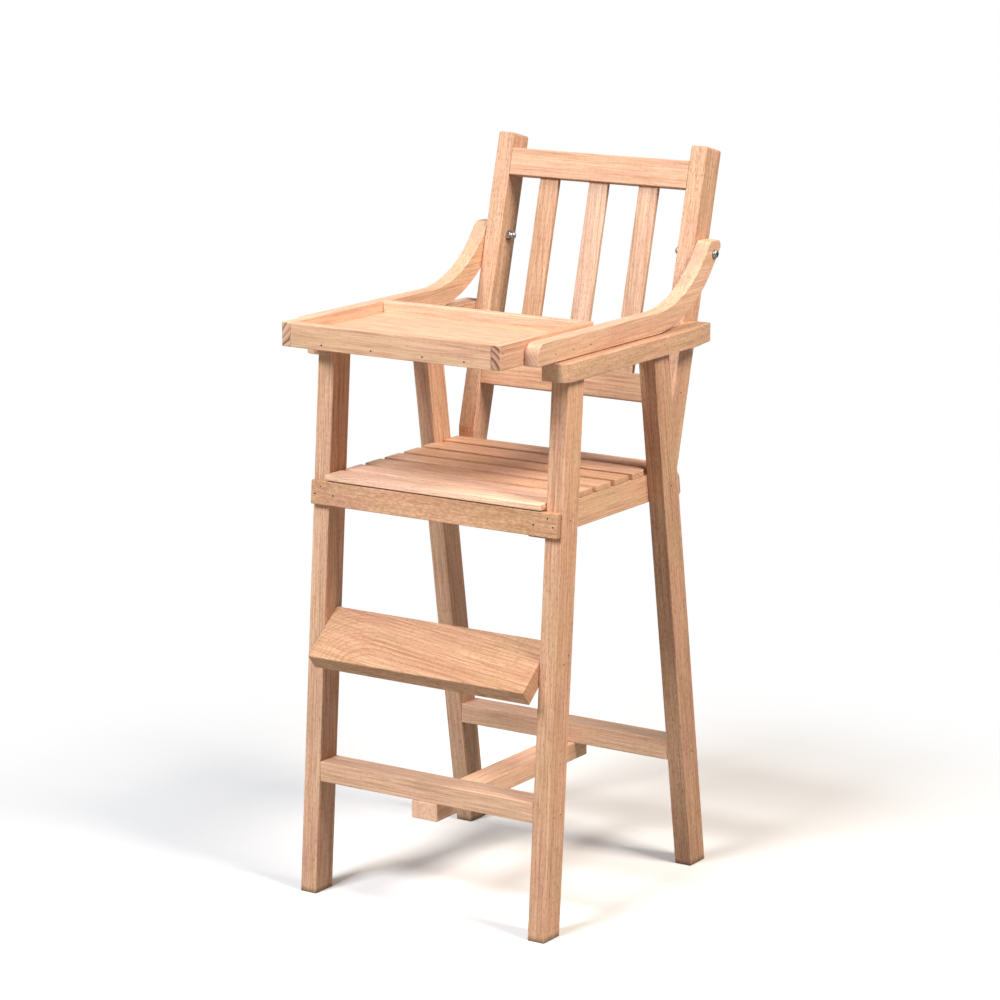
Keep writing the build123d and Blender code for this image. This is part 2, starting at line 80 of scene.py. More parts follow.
# Its growth rings
rings = {
    "wanderSize": (120, 24),     # mm
    "wander": (0, 7, 7),         # mm
    # How dark a ring is, from its inner edge to its outer one
    "stops": [(0.0, 0.7), (0.1, 0.05), (0.5, 0.15), (0.84, 0.6), (0.95, 1.0)],
    "palest": 0.3,               # the palest ring's share of the darkest one's tone
    "share": 0.55,               # how far a ring darkens the wood at most
    "endRange": (0.1, 0.85),     # the same in the end grain, from no tint to the full one
    "rise": 0.35,                # how proud late wood stands, against the fibres
}
# Its fibres, ray flecks, end grain and clouds of tone
tones = {
    "fibreRange": (0.36, 0.66),
    "fibreShare": 0.55,
    "fleckShare": 0.6,
    "fleckRise": -0.5,
    "longFlecks": (0.3, 0.8),    # which of the cells hold a fleck
    "shortFlecks": (0.4, 0.9),
    "shortening": (2.4, 1.4),    # by how much short flecks are shorter and thinner
    "endFacing": (0.6, 0.88),    # how far the surface faces along the fibres
    "flakeShare": 0.5,
    "cloudSize": (70, 16),       # mm
    "cloudHues": (0.493, 0.507),
    "cloudValues": (0.93, 1.07),
    "warmthSpread": 0.2,         # share of saturation at a warmth of 1
    "poreValues": (0.88, 1.12),
}

# How each board was cut: way of its grain, lean in degrees, place of its middle from the pith in mm
# (to the back, upwards), slope of its grain in degrees, ring width in mm, lightness, warmth, and how
# strongly rings and ray flecks show.
boardCuts = {
    "front_leg_left": ("up", 4.2, (70, 34), (0.5, 1.2), 2.3, 0.95, 0.1, 0.9, 0.8),
    "front_leg_right": ("up", 4.2, (58, -60), (0.8, 0.4), 2.1, 0.95, 0.25, 0.9, 0.9),
    "rear_leg_left": ("up", -8.83, (40, 74), (0.3, 0.9), 2.6, 0.96, 0.0, 0.8, 0.8),
    "rear_leg_right": ("up", -8.83, (-66, 52), (0.9, 0.5), 2.2, 0.84, 0.2, 0.9, 1.0),
    "back_post_left": ("up", 14.44, (64, 40), (1.0, 0.3), 2.4, 0.93, 0.1, 0.4, 1.0),
    "back_post_right": ("up", 14.44, (-52, 66), (0.4, 0.8), 2.0, 0.92, 0.1, 0.4, 1.0),
    "side_rail_left": ("back", 0.0, (50, 60), (0.6, 0.5), 2.5, 0.98, 0.1, 0.4, 0.48),
    "side_rail_right": ("back", 0.0, (-44, 78), (0.4, 0.8), 2.7, 0.95, 0.2, 0.3, 0.54),
    "front_apron": ("across", 0.0, (86, 8), (0.3, 0.5), 3.0, 0.9, 0.5, 0.2, 0.6),
    "rear_apron": ("across", 0.0, (64, 22), (0.5, 0.2), 2.4, 0.97, 0.1, 0.4, 0.6),
    "top_back_rail": ("across", 0.0, (30, 62), (0.2, 0.6), 2.4, 0.92, 0.2, 0.5, 0.42),
    "bottom_back_rail": ("across", 0.0, (-42, 60), (0.5, 0.4), 2.6, 0.82, 0.35, 0.6, 0.48),
    "armrest_left": ("back", 0.0, (12, 62), (0.4, 0.9), 2.4, 0.95, 0.0, 0.4, 0.66),
    "armrest_right": ("back", 0.0, (-20, 58), (0.5, 0.7), 2.8, 0.9, 0.1, 0.2, 0.9),
    "footrest": ("across", 0.0, (18.5, 23.0), (5.7, 4.7), 3.0, 0.79, 0.45, 1.0, 0.7),
    "front_stretcher": ("across", 0.0, (56, 40), (0.3, 0.7), 2.2, 1.04, 0.0, 0.7, 0.42),
    "rear_stretcher": ("across", 0.0, (-60, 36), (0.5, 0.5), 2.6, 1.0, -0.1, 0.4, 0.54),
    "middle_bar": ("back", 0.0, (30, 50), (0.6, 0.9), 2.9, 1.17, -0.15, 0.3, 0.48),
    "tray_front_rim": ("across", 0.0, (60, 26), (0.2, 0.5), 2.6, 0.94, 0.2, 0.6, 0.36),
    "tray_rear_rim": ("across", 0.0, (58, -30), (0.4, 0.3), 2.4, 1.05, -0.3, 0.4, 0.36),
    "tray_side_rim_left": ("back", 0.0, (44, 46), (0.5, 0.6), 4.8, 1.05, -0.3, 0.4, 0.42),
    "tray_side_rim_right": ("back", 0.0, (46, -48), (0.4, 0.5), 4.6, 0.94, 0.1, 0.6, 0.42),
    "tray_panel": ("across", 0.0, (8, 16), (1.6, 3.2), 3.4, 1.0, 0.0, 0.35, 0.24),
    "tray_arm_left": ("back", 0.0, (60, 30), (0.6, 1.2), 2.6, 1.01, 0.0, 0.4, 0.48),
    "tray_arm_right": ("back", 0.0, (-62, 28), (0.5, 1.6), 2.6, 1.02, -0.15, 0.5, 0.48),
}
cutNames = ("way", "lean", "heart", "slope", "ringWidth", "lightness", "warmth", "ringContrast",
            "fleckAmount")
boardCuts = {node: dict(zip(cutNames, cut)) for node, cut in boardCuts.items()}
# A sweep bends the rings: to the back and upwards in mm over 100 mm, and where along the board it
# starts, from the middle.
sweeps = {
    "footrest": (-48.0, 58.0, -35.0),
    "tray_panel": (0.0, 5.0, -30.0),
    "back_post_left": (1.5, 0.0, 20.0),
    "armrest_right": (1.0, 2.0, 10.0),
    "seatSlats": (0.0, 2.5, -20.0),
}
# How strongly silvery flakes show, on boards cut along their rays
flakes = {
    "front_apron": 0.85,
    "rear_apron": 0.5,
    "rear_leg_right": 0.35,
    "back_post_right": 0.3,
    "armrest_right": 0.3,
}
# Sawn ends: how far their tone differs from the faces, and how strongly their rings show
ends = {
    "armrest_left": (0.1, 0.4),
    "armrest_right": (0.1, 0.4),
    "footrest": (0.35, 0.5),
    "middle_bar": (0.2, 0.3),
    "tray_side_rim_left": (1.0, 1.7),
    "tray_side_rim_right": (1.0, 1.7),
}


def hexToLinear(code):
    parts = [int(code[k:k + 2], 16) / 255 for k in (1, 3, 5)]
    return [c / 12.92 if c <= 0.04045 else ((c + 0.055) / 1.055) ** 2.4 for c in parts] + [1.0]


def grey(value):
    return (value, value, value, 1.0)


def addNode(tree, kind, inputs=None, **settings):
    node = tree.nodes.new(kind)
    for key, value in settings.items():
        setattr(node, key, value)
    for key, value in (inputs or {}).items():
        if isinstance(value, bpy.types.NodeSocket):
            tree.links.new(value, node.inputs[key])
        else:
            node.inputs[key].default_value = value
    return node


def addMath(tree, operation, *values, **settings):
    node = addNode(tree, "ShaderNodeMath", dict(enumerate(values)), operation=operation, **settings)
    return node.outputs[0]


def addRange(tree, value, low, high, newLow=0.0, newHigh=1.0, **settings):
    node = addNode(tree, "ShaderNodeMapRange", {
        "Value": value, "From Min": low, "From Max": high, "To Min": newLow, "To Max": newHigh},
        **settings)
    return node.outputs[0]


def addTint(tree, share, first, second):
    # Mixes two colours; a hex code is turned to linear.
    colours = [hexToLinear(c) if isinstance(c, str) else c for c in (first, second)]
    node = addNode(tree, "ShaderNodeMix", {0: share, 6: colours[0], 7: colours[1]}, data_type="RGBA")
    return node.outputs[2]


def addNoise(tree, grain, length, width, detail=2.0, roughness=0.5):
    # Noise drawn out along the grain; length and width are in mm.
    point = addNode(tree, "ShaderNodeMapping", {
        "Vector": grain, "Scale": (1 / length, 1 / width, 1 / width)})
    return addNode(tree, "ShaderNodeTexNoise", {
        "Vector": point.outputs[0], "Scale": 1.0, "Detail": detail, "Roughness": roughness})


def addFigure(tree, grain, name, detail=2.0):
    part = figure[name]
    noise = addNoise(tree, grain, *part["size"], detail).outputs["Fac"]
    return addRange(tree, noise, *part["range"], 0.0, part["share"])


def addVector(tree, operation, *values, output="Vector"):
    node = addNode(tree, "ShaderNodeVectorMath", dict(enumerate(values)), operation=operation)
    return node.outputs[output]


def setRamp(node, stops):
    ramp = node.color_ramp
    while len(ramp.elements) < len(stops):
        ramp.elements.new(0.5)
    for element, (place, value) in zip(ramp.elements, stops):
        element.position = place
        element.color = grey(value)


def addSockets(tree, way, names):
    for kind, group in names.items():
        for name in group:
            tree.interface.new_socket(name, in_out=way, socket_type="NodeSocket" + kind)


def addRings(tree, grain, ringWidth):
    # The trunk isn't quite round or straight, so its rings wander, and some are darker than others.
    wander = addNoise(tree, grain, *rings["wanderSize"]).outputs["Color"]
    shift = addVector(tree, "SUBTRACT", wander, (0.5, 0.5, 0.5))
    shift = addVector(tree, "MULTIPLY", shift, rings["wander"])
    across = addVector(tree, "MULTIPLY", addVector(tree, "ADD", grain, shift), (0, 1, 1))
    count = addMath(tree, "DIVIDE", addVector(tree, "LENGTH", across, output="Value"), ringWidth)
    tone = addNode(tree, "ShaderNodeValToRGB", {"Fac": addMath(tree, "FRACT", count)})
    setRamp(tone, rings["stops"])
    number = addMath(tree, "FLOOR", count)
    chance = addNode(tree, "ShaderNodeTexWhiteNoise", {"W": number}, noise_dimensions="1D")
    share = addRange(tree, chance.outputs["Value"], 0, 1, rings["palest"], 1.0)
    return addMath(tree, "MULTIPLY", tone.outputs["Color"], share)


def addFlecks(tree, grain, length, width, low, high):
    # Rays: short dark spindles along the grain, in some cells only.
    point = addNode(tree, "ShaderNodeMapping", {
        "Vector": grain, "Scale": (1 / length, 1 / width, 1 / width)})
    cells = addNode(tree, "ShaderNodeTexVoronoi", {
        "Vector": point.outputs[0], "Scale": 1.0, "Randomness": 0.95})
    spot = addRange(tree, cells.outputs["Distance"], 0.5, 0.2)
    chance = addNode(tree, "ShaderNodeSeparateColor", {0: cells.outputs["Color"]})
    return addMath(tree, "MULTIPLY", spot, addRange(tree, chance.outputs[0], low, high))


def addFlakes(tree, grain):
    # Silvery flakes in slanting rows, where a board is cut along its rays.
    size = beech["flakeSize"]
    point = addNode(tree, "ShaderNodeMapping", {
        "Vector": grain, "Rotation": beech["flakeTurn"],
        "Scale": (1 / size[0], 1 / size[1], 1 / size[1])})
    cells = addNode(tree, "ShaderNodeTexVoronoi", {
        "Vector": point.outputs[0], "Scale": 1.0, "Randomness": 0.7, "Smoothness": 0.5},
        feature="SMOOTH_F1")
    return addRange(tree, cells.outputs["Distance"], 0.25, 0.75)


def makeBeechGroup():
    # Beech cut from a trunk whose pith is the X axis; Grain is a point of that trunk in mm.
    # Rings show as lines, arches or arcs by the way the board was cut.
    tree = bpy.data.node_groups.new("bareBeech", "ShaderNodeTree")
    addSockets(tree, "INPUT", {
        "Vector": ("Grain", "Facing", "Sweep"),
        "Float": ("Floor Height", "Ring Width", "Lightness", "Warmth", "Ring Contrast", "Fleck Amount",
                  "Flake Amount", "Sweep Start", "End Share", "End Contrast")})
    addSockets(tree, "OUTPUT", {"Color": ("Color",), "Float": ("Roughness", "Height")})
    given = addNode(tree, "NodeGroupInput").outputs

    # The rings bend along the board
    alongX = addNode(tree, "ShaderNodeSeparateXYZ", {0: given["Grain"]}).outputs["X"]
    past = addMath(tree, "MINIMUM", addMath(tree, "SUBTRACT", alongX, given["Sweep Start"]), 0.0)
    past = addMath(tree, "DIVIDE", past, 100.0)
    bend = addNode(tree, "ShaderNodeVectorMath", {
        0: given["Sweep"], "Scale": addMath(tree, "MULTIPLY", past, past)}, operation="SCALE")
    grain = given["Grain"]
    bent = addVector(tree, "ADD", grain, bend.outputs[0])

    # End grain shows where the surface faces along the fibres
    facing = addNode(tree, "ShaderNodeSeparateXYZ", {0: given["Facing"]})
    along = addMath(tree, "ABSOLUTE", facing.outputs["X"])
    endGrain = addRange(tree, along, *tones["endFacing"], interpolation_type="SMOOTHSTEP")
    longGrain = addMath(tree, "SUBTRACT", 1.0, endGrain)

    ring = addRings(tree, bent, given["Ring Width"])
    fibres = addNoise(tree, grain, beech["fibreLength"], beech["fibreWidth"], 3.0, 0.65).outputs["Fac"]
    clouds = addNoise(tree, grain, *tones["cloudSize"])

    # Light and dark wood
    ringDark = addMath(tree, "MULTIPLY", ring, given["Ring Contrast"])
    ringDark = addMath(tree, "MULTIPLY", ringDark, rings["share"])
    fibreDark = addRange(tree, fibres, *tones["fibreRange"], 0.0, tones["fibreShare"])
    dark = addMath(tree, "ADD", ringDark, fibreDark)
    dark = addMath(tree, "ADD", dark, addFigure(tree, grain, "bands"), use_clamp=True)
    wood = addTint(tree, dark, beech["lightWood"], beech["darkWood"])
    wood = addTint(tree, addFigure(tree, grain, "pinks"), wood, beech["pinkWood"])

    # Mineral lines and ray flecks
    wood = addTint(tree, addFigure(tree, grain, "lines", 1.0), wood, beech["streak"])
    length, width = beech["fleckLength"], beech["fleckWidth"]
    shorter, thinner = tones["shortening"]
    fleck = addFlecks(tree, grain, length, width, *tones["longFlecks"])
    shortFleck = addFlecks(tree, grain, length / shorter, width / thinner, *tones["shortFlecks"])
    fleck = addMath(tree, "MAXIMUM", fleck, shortFleck)
    fleck = addMath(tree, "MULTIPLY", fleck, longGrain)
    fleckShare = addMath(tree, "MULTIPLY", fleck, given["Fleck Amount"])
    fleckShare = addMath(tree, "MULTIPLY", fleckShare, tones["fleckShare"], use_clamp=True)
    wood = addTint(tree, fleckShare, wood, beech["fleck"])
    flake = addMath(tree, "MULTIPLY", addFlakes(tree, grain), given["Flake Amount"])
    flake = addMath(tree, "MULTIPLY", flake, longGrain)
    wood = addTint(tree, addMath(tree, "MULTIPLY", flake, tones["flakeShare"]), wood, beech["streak"])

    # End grain: rings darker, and dirt in the open pores
    pores = addNode(tree, "ShaderNodeTexNoise", {
        "Vector": grain, "Scale": 1.6, "Detail": 2.0}).outputs["Fac"]
    endRings = addRange(tree, addMath(tree, "MULTIPLY", ring, given["End Contrast"]), *rings["endRange"])
    endTone = addTint(tree, endRings, beech["endWood"], beech["endRing"])
    cut = addNode(tree, "ShaderNodeVectorMath", {
        0: endTone, "Scale": addRange(tree, pores, 0.3, 0.7, *tones["poreValues"])}, operation="SCALE")
    wood = addTint(tree, addMath(tree, "MULTIPLY", endGrain, given["End Share"]), wood, cut.outputs[0])

    # Each board's own tone, and clouds in it
    hue = addRange(tree, clouds.outputs["Fac"], 0.3, 0.7, *tones["cloudHues"])
    cloudTone = addNode(tree, "ShaderNodeSeparateColor", {0: clouds.outputs["Color"]})
    value = addRange(tree, cloudTone.outputs[1], 0.3, 0.7, *tones["cloudValues"])
    value = addMath(tree, "MULTIPLY", value, given["Lightness"])
    spread = tones["warmthSpread"]
    warm = addRange(tree, given["Warmth"], -1.0, 1.0, 1 - spread, 1 + spread, clamp=False)
    toned = addNode(tree, "ShaderNodeHueSaturation", {
        "Hue": hue, "Saturation": warm, "Value": value, "Color": wood})

    # Feet darker towards the bottom, where they stand on the floor
    floorNoise = addNode(tree, "ShaderNodeTexNoise", {"Vector": grain, "Scale": 0.5}).outputs["Fac"]
    height = addMath(tree, "MULTIPLY_ADD", floorNoise, beech["footDarkHeight"], given["Floor Height"])
    top, full = beech["footDarkHeight"] * 1.9, beech["footDarkHeight"] * 0.6
    bottomDark = addRange(tree, height, top, full, 0.0, beech["footDarkShare"])
    bottomDarkened = addTint(tree, bottomDark, toned.outputs[0], beech["footDark"])

    # Surface: fibres and late wood stand a little proud, and end grain is rougher
    rough = addRange(tree, fibres, 0.3, 0.7, beech["roughness"] - 0.05, beech["roughness"] + 0.08)
    rough = addMath(tree, "MULTIPLY_ADD", endGrain, beech["endRoughness"], rough)
    rise = addMath(tree, "MULTIPLY_ADD", ring, rings["rise"], fibres)
    rise = addMath(tree, "MULTIPLY_ADD", fleck, tones["fleckRise"], rise)
    addNode(tree, "NodeGroupOutput", {"Color": bottomDarkened, "Roughness": rough, "Height": rise})
    return tree


beechGroup = makeBeechGroup()


def grainTurn(cut):
    # Turns a board so that its fibres run along X, then slopes them towards the back and upwards.
    lean = math.radians(cut["lean"])
    rows = {
        "across": ((1, 0, 0), (0, 1, 0), (0, 0, 1)),
        "back": ((0, 1, 0), (1, 0, 0), (0, 0, -1)),
        "up": ((0, math.sin(lean), math.cos(lean)), (1, 0, 0), (0, math.cos(lean), -math.sin(lean))),
    }
    slope = [math.radians(angle) for angle in cut["slope"]]
    return Euler((0, -slope[1], slope[0])).to_matrix() @ Matrix(rows[cut["way"]])


def beechMaterial(name, cut, middle, loose=False):
    # Beech boards, planed, sanded and left bare: satin, with rings, fibres and ray flecks in the solid
    # wood. A loose board carries its own shift in the trunk and its own tone as attributes.
    turn = grainTurn(cut)
    alongTrunk = sum(map(ord, name)) * beech["trunkStep"] % beech["trunkLength"]
    sweep = sweeps.get(name, (0.0, 0.0, 0.0))
    endShare, endContrast = ends.get(name, (1.0, cut["ringContrast"]))
    place = Vector((alongTrunk, *cut["heart"])) - turn @ (middle / mm)
    material = bpy.data.materials.new("bareBeech_" + name)
    material.use_nodes = True
    tree = material.node_tree
    tree.nodes.clear()
    where = addNode(tree, "ShaderNodeTexCoord")
    point = addNode(tree, "ShaderNodeMapping", {
        "Vector": where.outputs["Object"], "Location": place, "Rotation": turn.to_euler(),
        "Scale": (1 / mm,) * 3})
    facing = addNode(tree, "ShaderNodeMapping", {
        "Vector": where.outputs["Normal"], "Rotation": turn.to_euler()}, vector_type="VECTOR")
    grain, lightness, warmth = point.outputs[0], cut["lightness"], cut["warmth"]
    if loose:
        shift = addNode(tree, "ShaderNodeAttribute", attribute_name="boardShift").outputs["Vector"]
        grain = addVector(tree, "ADD", grain, shift)
        tone = addNode(tree, "ShaderNodeAttribute", attribute_name="boardTone").outputs["Fac"]
        lightness = addMath(tree, "MULTIPLY", tone, lightness)
        warmer, greyer = slats["warmthSpread"]
        warmth = addRange(tree, tone, *slats["warmthTones"], warmth + warmer, warmth - greyer)
    heights = addNode(tree, "ShaderNodeSeparateXYZ", {0: where.outputs["Object"]})
    height = addMath(tree, "DIVIDE", heights.outputs["Z"], mm)
    wood = addNode(tree, "ShaderNodeGroup", {
        "Grain": grain, "Facing": facing.outputs[0], "Floor Height": height,
        "Ring Width": cut["ringWidth"], "Lightness": lightness, "Warmth": warmth,
        "Ring Contrast": cut["ringContrast"], "Fleck Amount": cut["fleckAmount"],
        "Flake Amount": flakes.get(name, 0.0), "Sweep": (0, *sweep[:2]),
        "Sweep Start": alongTrunk + sweep[2], "End Share": endShare, "End Contrast": endContrast},
        node_tree=beechGroup)
    bump = addNode(tree, "ShaderNodeBump", {
        "Strength": beech["bumpStrength"], "Distance": beech["bumpDepth"] * mm,
        "Height": wood.outputs["Height"]})
    shader = addNode(tree, "ShaderNodeBsdfPrincipled", {
        "Base Color": wood.outputs["Color"], "Roughness": wood.outputs["Roughness"],
        "Normal": bump.outputs[0], "Specular IOR Level": beech["specular"]})
    addNode(tree, "ShaderNodeOutputMaterial", {"Surface": shader.outputs[0]})
    return material


def metalMaterial(name, dark, light, roughness, metallic, scale):
    # Metal with a fine mottle in colour and sheen; scale is its size in mm.
    material = bpy.data.materials.new(name)
    material.use_nodes = True
    tree = material.node_tree
    tree.nodes.clear()
    where = addNode(tree, "ShaderNodeTexCoord")
    mottle = addNode(tree, "ShaderNodeTexNoise", {
        "Vector": where.outputs["Object"], "Scale": 1 / (scale * mm), "Detail": 3.0}).outputs["Fac"]
    colour = addTint(tree, addRange(tree, mottle, 0.35, 0.65), dark, light)
    rough = addRange(tree, mottle, 0.3, 0.7, roughness - 0.08, roughness + 0.1)
    bump = addNode(tree, "ShaderNodeBump", {"Strength": 0.3, "Distance": 0.02 * mm, "Height": mottle})
    shader = addNode(tree, "ShaderNodeBsdfPrincipled", {
        "Base Color": colour, "Roughness": rough, "Normal": bump.outputs[0], "Metallic": metallic})
    addNode(tree, "ShaderNodeOutputMaterial", {"Surface": shader.outputs[0]})
    return material


def dress(obj, material):
    for slot in obj.material_slots:
        slot.material = material


def middleOf(node):
    low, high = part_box(node)
    return (low + high) / 2


for node, cut in boardCuts.items():
    dress(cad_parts[node], beechMaterial(node, cut, middleOf(node)))
print("boards dressed:", len(boardCuts))

# Zinc-plated bolts and cap nuts: bright with a soft mottle. Wire brads: dull and dark in their holes.
metals = {
    "zincPlatedSteel": {"dark": "#6E7073", "light": "#CDCFD1", "roughness": 0.26, "metallic": 1.0,
                        "scale": 1.2},
    "dullWireSteel": {"dark": "#1E1713", "light": "#3C2F28", "roughness": 0.55, "metallic": 0.3,
                      "scale": 0.5},
}
plated, wire = [metalMaterial(name, **metal) for name, metal in metals.items()]
for node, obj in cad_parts.items():
    if node.startswith("pivot_"):
        dress(obj, plated)
    if node.endswith("_brads"):
        dress(obj, wire)
print("metal dressed")

# The slats repeat, so a Geometry Nodes tree lays them out in a row
slats = {
    "edge": 0.8,                 # mm, rounding of the edges
    "edgeSteps": 3,
    "lengthSpread": 0.5,         # mm, how much shorter a slat can be
    "turnSpread": 0.12,          # degrees, how far a slat can lie askew
    "toneSpread": 0.09,          # share by which a slat's tone can differ
    "warmthTones": (0.9, 1.1),   # a dark slat's tone and a pale one's
    "warmthSpread": (0.4, 0.7),  # how much warmer a dark slat is, and how much greyer a pale one
    "shiftSpread": (400, 9, 9),  # mm, how far apart in the trunk the slats are cut
    "seatSeed": 17,
    "backSeed": 26,
}
seatCut = dict(zip(cutNames, ("across", 0.0, (22, 34), (0.3, 1.2), 2.6, 1.22, 0.0, 0.7, 0.6)))
backCut = dict(zip(cutNames, ("up", 14.44, (40, 60), (1.8, 0.9), 2.6, 0.885, 0.15, 0.8, 0.8)))


def makeSlatTree():
    # A row of boards: sizes and steps are inputs, and each board gets its own shift and tone of wood.
    tree = bpy.data.node_groups.new("slatRow", "GeometryNodeTree")
    tree.interface.new_socket("Geometry", in_out="OUTPUT", socket_type="NodeSocketGeometry")
    addSockets(tree, "INPUT", {
        "Int": ("Count", "Seed"),
        "Vector": ("First Middle", "Step", "Slat Size", "Turn", "Length Spread"),
        "Float": ("Turn Spread", "Tone Spread"),
        "Material": ("Wood",)})
    given = addNode(tree, "NodeGroupInput").outputs

    def chance(low, high, offset, kind="FLOAT_VECTOR"):
        seed = addMath(tree, "ADD", given["Seed"], offset)
        first, output = (2, 1) if kind == "FLOAT" else (0, 0)
        draw = addNode(tree, "FunctionNodeRandomValue", {
            first: low, first + 1: high, "Seed": seed}, data_type=kind)
        return draw.outputs[output]

    line = addNode(tree, "GeometryNodeMeshLine", {
        "Count": given["Count"], "Start Location": given["First Middle"], "Offset": given["Step"]})
    shorter = addVector(tree, "MULTIPLY", given["Length Spread"], chance((0, 0, 0), (1, 1, 1), 1))
    size = addVector(tree, "SUBTRACT", given["Slat Size"], shorter)
    board = addNode(tree, "GeometryNodeMeshCube")
    askew = addNode(tree, "ShaderNodeCombineXYZ", {
        2: addMath(tree, "MULTIPLY", given["Turn Spread"], chance(-1.0, 1.0, 2, "FLOAT"))})
    turn = addVector(tree, "ADD", given["Turn"], askew.outputs[0])
    row = addNode(tree, "GeometryNodeInstanceOnPoints", {
        "Points": line.outputs[0], "Instance": board.outputs[0], "Rotation": turn, "Scale": size})
    low, high = [-far for far in slats["shiftSpread"]], slats["shiftSpread"]
    shifted = addNode(tree, "GeometryNodeStoreNamedAttribute", {
        "Geometry": row.outputs[0], "Name": "boardShift", "Value": chance(low, high, 3)},
        data_type="FLOAT_VECTOR", domain="INSTANCE")
    toneLow = addMath(tree, "SUBTRACT", 1.0, given["Tone Spread"])
    toneHigh = addMath(tree, "ADD", 1.0, given["Tone Spread"])
    toned = addNode(tree, "GeometryNodeStoreNamedAttribute", {
        "Geometry": shifted.outputs[0], "Name": "boardTone",
        "Value": chance(toneLow, toneHigh, 4, "FLOAT")}, data_type="FLOAT", domain="INSTANCE")
    real = addNode(tree, "GeometryNodeRealizeInstances", {"Geometry": toned.outputs[0]})
    dressed = addNode(tree, "GeometryNodeSetMaterial", {
        "Geometry": real.outputs[0], "Material": given["Wood"]})
    addNode(tree, "NodeGroupOutput", {0: dressed.outputs[0]})
    return tree


slatTree = makeSlatTree()


def makeSlats(name, nodes, given):
    # Lays out one row, rounds its edges and puts it in place of the CAD slats.
    mesh = bpy.data.meshes.new(name)
    piece = bpy.data.objects.new(name, mesh)
    bpy.context.scene.collection.objects.link(piece)
    row = piece.modifiers.new("row", "NODES")
    row.node_group = slatTree
    for item in slatTree.interface.items_tree:
        if item.in_out == "INPUT" and item.name in given:
            row[item.identifier] = given[item.name]
    bevel = piece.modifiers.new("edges", "BEVEL")
    bevel.width = slats["edge"] * mm
    bevel.segments = slats["edgeSteps"]
    evaluated = piece.evaluated_get(bpy.context.evaluated_depsgraph_get())
    plain = bpy.data.meshes.new_from_object(evaluated)
    piece.modifiers.clear()
    piece.data = plain
    for polygon in plain.polygons:
        polygon.use_smooth = True
    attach(piece, "chair")
    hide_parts(*nodes)


def makeSeatSlats():
    # The two rear slats don't follow the row's steps, so they keep their CAD forms.
    nodes = ["seat_slat_%d" % number for number in range(1, 6)]
    low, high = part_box(nodes[0])
    step = middleOf(nodes[1]) - middleOf(nodes[0])
    makeSlats("seatSlats", nodes, {
        "Count": len(nodes), "First Middle": middleOf(nodes[0]), "Step": step, "Slat Size": high - low,
        "Turn": (0, 0, 0), "Length Spread": (slats["lengthSpread"] * mm, 0, 0),
        "Turn Spread": math.radians(slats["turnSpread"]), "Tone Spread": slats["toneSpread"],
        "Seed": slats["seatSeed"],
        "Wood": beechMaterial("seatSlats", seatCut, middleOf(nodes[0]), loose=True)})
    for node in ("seat_slat_6", "seat_slat_7"):
        dress(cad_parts[node], beechMaterial(node, seatCut, middleOf(node)))


def makeBackSlats():
    nodes = ["back_slat_%d" % number for number in range(1, 4)]
    low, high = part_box(nodes[0])
    lean = math.radians(backCut["lean"])
    depth, rise = (high - low)[1], (high - low)[2]
    length = (rise * math.cos(lean) - depth * math.sin(lean)) / math.cos(2 * lean)
    thickness = (depth * math.cos(lean) - rise * math.sin(lean)) / math.cos(2 * lean)
    makeSlats("backSlats", nodes, {
        "Count": len(nodes), "First Middle": middleOf(nodes[0]),
        "Step": middleOf(nodes[1]) - middleOf(nodes[0]),
        "Slat Size": ((high - low)[0], thickness, length), "Turn": (-lean, 0, 0),
        "Length Spread": (0, 0, 0), "Turn Spread": 0.0, "Tone Spread": slats["toneSpread"],
        "Seed": slats["backSeed"],
        "Wood": beechMaterial("backSlats", backCut, middleOf(nodes[0]), loose=True)})


makeSeatSlats()
makeBackSlats()
print("slats laid out")

# Stage: a white floor that fades to plain white far off, a white surround and soft lamps from above
stage = {
    "floorSize": 9.0,
    "floorColour": "#FFFFFF",
    "fadeStart": 0.27,           # metres from the chair
    "fadeEnd": 0.64,
    "floorBounce": "#ADADAB",    # what the floor throws back; darker, as a real sweep is small
    "worldLight": 0.14,
}
lampAim = (0, 0, 0.3)
lamps = {
    "frontSoftbox": {"azimuth": -10, "elevation": 43, "distance": 2.4, "size": 0.8, "power": 63.0,
                     "colour": "#F8FBFF"},
    "sideSoftbox": {"azimuth": 84, "elevation": 45, "distance": 2.3, "size": 0.7, "power": 54.0,
                    "colour": "#FFF3E6"},
}
view = {
    "azimuth": 33.109, "elevation": 12.424, "distance": 2.5899, "roll": 0.052,
    "target": (0.08147, -0.13484, 0.348), "lens": 124.0, "sensor": 36.0, "clip": (0.05, 50),
}


def around(azimuth, elevation, distance, target):
    a, e = math.radians(azimuth), math.radians(elevation)
    back = Vector((math.sin(a) * math.cos(e), -math.cos(a) * math.cos(e), math.sin(e)))
    return Vector(target) + back * distance, back


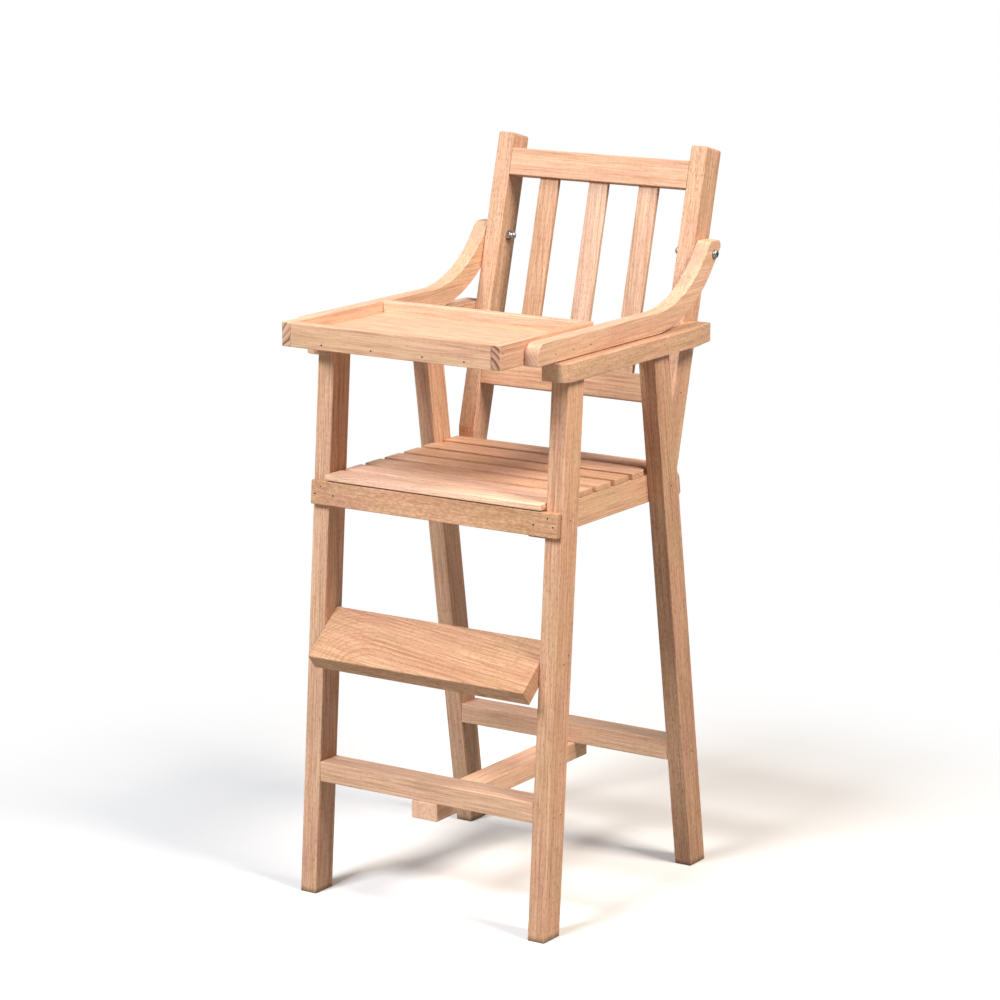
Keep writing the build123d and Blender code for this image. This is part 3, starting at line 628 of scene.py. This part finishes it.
def makeFloor():
    half = stage["floorSize"] / 2
    mesh = bpy.data.meshes.new("floor")
    corners = [(-half, -half, 0), (half, -half, 0), (half, half, 0), (-half, half, 0)]
    mesh.from_pydata(corners, [], [(0, 1, 2, 3)])
    floor = bpy.data.objects.new("floor", mesh)
    bpy.context.scene.collection.objects.link(floor)
    material = bpy.data.materials.new("mattWhiteFloor")
    material.use_nodes = True
    tree = material.node_tree
    tree.nodes.clear()
    # Far off, the floor is plain white to the camera, so that no horizon shows
    where = addNode(tree, "ShaderNodeTexCoord")
    away = addVector(tree, "LENGTH", where.outputs["Object"], output="Value")
    rays = addNode(tree, "ShaderNodeLightPath")
    fade = addRange(tree, away, stage["fadeStart"], stage["fadeEnd"], interpolation_type="SMOOTHSTEP")
    fade = addMath(tree, "MULTIPLY", fade, rays.outputs["Is Camera Ray"])
    seen = addTint(tree, rays.outputs["Is Camera Ray"], stage["floorBounce"], stage["floorColour"])
    matt = addNode(tree, "ShaderNodeBsdfDiffuse", {"Color": seen})
    plain = addNode(tree, "ShaderNodeEmission", {"Color": grey(1.0)})
    shader = addNode(tree, "ShaderNodeMixShader", {0: fade, 1: matt.outputs[0], 2: plain.outputs[0]})
    addNode(tree, "ShaderNodeOutputMaterial", {"Surface": shader.outputs[0]})
    mesh.materials.append(material)


def makeWorld():
    world = bpy.data.worlds.new("whiteStudio")
    world.use_nodes = True
    tree = world.node_tree
    tree.nodes.clear()
    # What is seen of it is white; what it lights is dimmer
    rays = addNode(tree, "ShaderNodeLightPath").outputs
    seen = addMath(tree, "MAXIMUM", rays["Is Camera Ray"], rays["Is Glossy Ray"])
    seen = addMath(tree, "MAXIMUM", seen, rays["Is Transmission Ray"])
    strength = addRange(tree, seen, 0.0, 1.0, stage["worldLight"], 1.0)
    light = addNode(tree, "ShaderNodeBackground", {"Color": grey(1.0), "Strength": strength})
    addNode(tree, "ShaderNodeOutputWorld", {"Surface": light.outputs[0]})
    bpy.context.scene.world = world


def makeLamps():
    for name, lamp in lamps.items():
        data = bpy.data.lights.new(name, "AREA")
        data.shape = "SQUARE"
        data.size = lamp["size"]
        data.energy = lamp["power"]
        data.color = hexToLinear(lamp["colour"])[:3]
        obj = bpy.data.objects.new(name, data)
        place, back = around(lamp["azimuth"], lamp["elevation"], lamp["distance"], lampAim)
        obj.location = place
        obj.rotation_euler = (-back).to_track_quat("-Z", "Y").to_euler()
        bpy.context.scene.collection.objects.link(obj)


def makeCamera():
    data = bpy.data.cameras.new("photoCamera")
    data.lens = view["lens"]
    data.sensor_width = view["sensor"]
    data.clip_start, data.clip_end = view["clip"]
    camera = bpy.data.objects.new("photoCamera", data)
    place, back = around(view["azimuth"], view["elevation"], view["distance"], view["target"])
    roll = Matrix.Rotation(math.radians(view["roll"]), 3, "Z")
    camera.location = place
    camera.rotation_euler = ((-back).to_track_quat("-Z", "Y").to_matrix() @ roll).to_euler()
    bpy.context.scene.collection.objects.link(camera)
    bpy.context.scene.camera = camera


makeFloor()
makeWorld()
makeLamps()
makeCamera()
bpy.context.scene.view_settings.view_transform = "Standard"
print("stage ready")
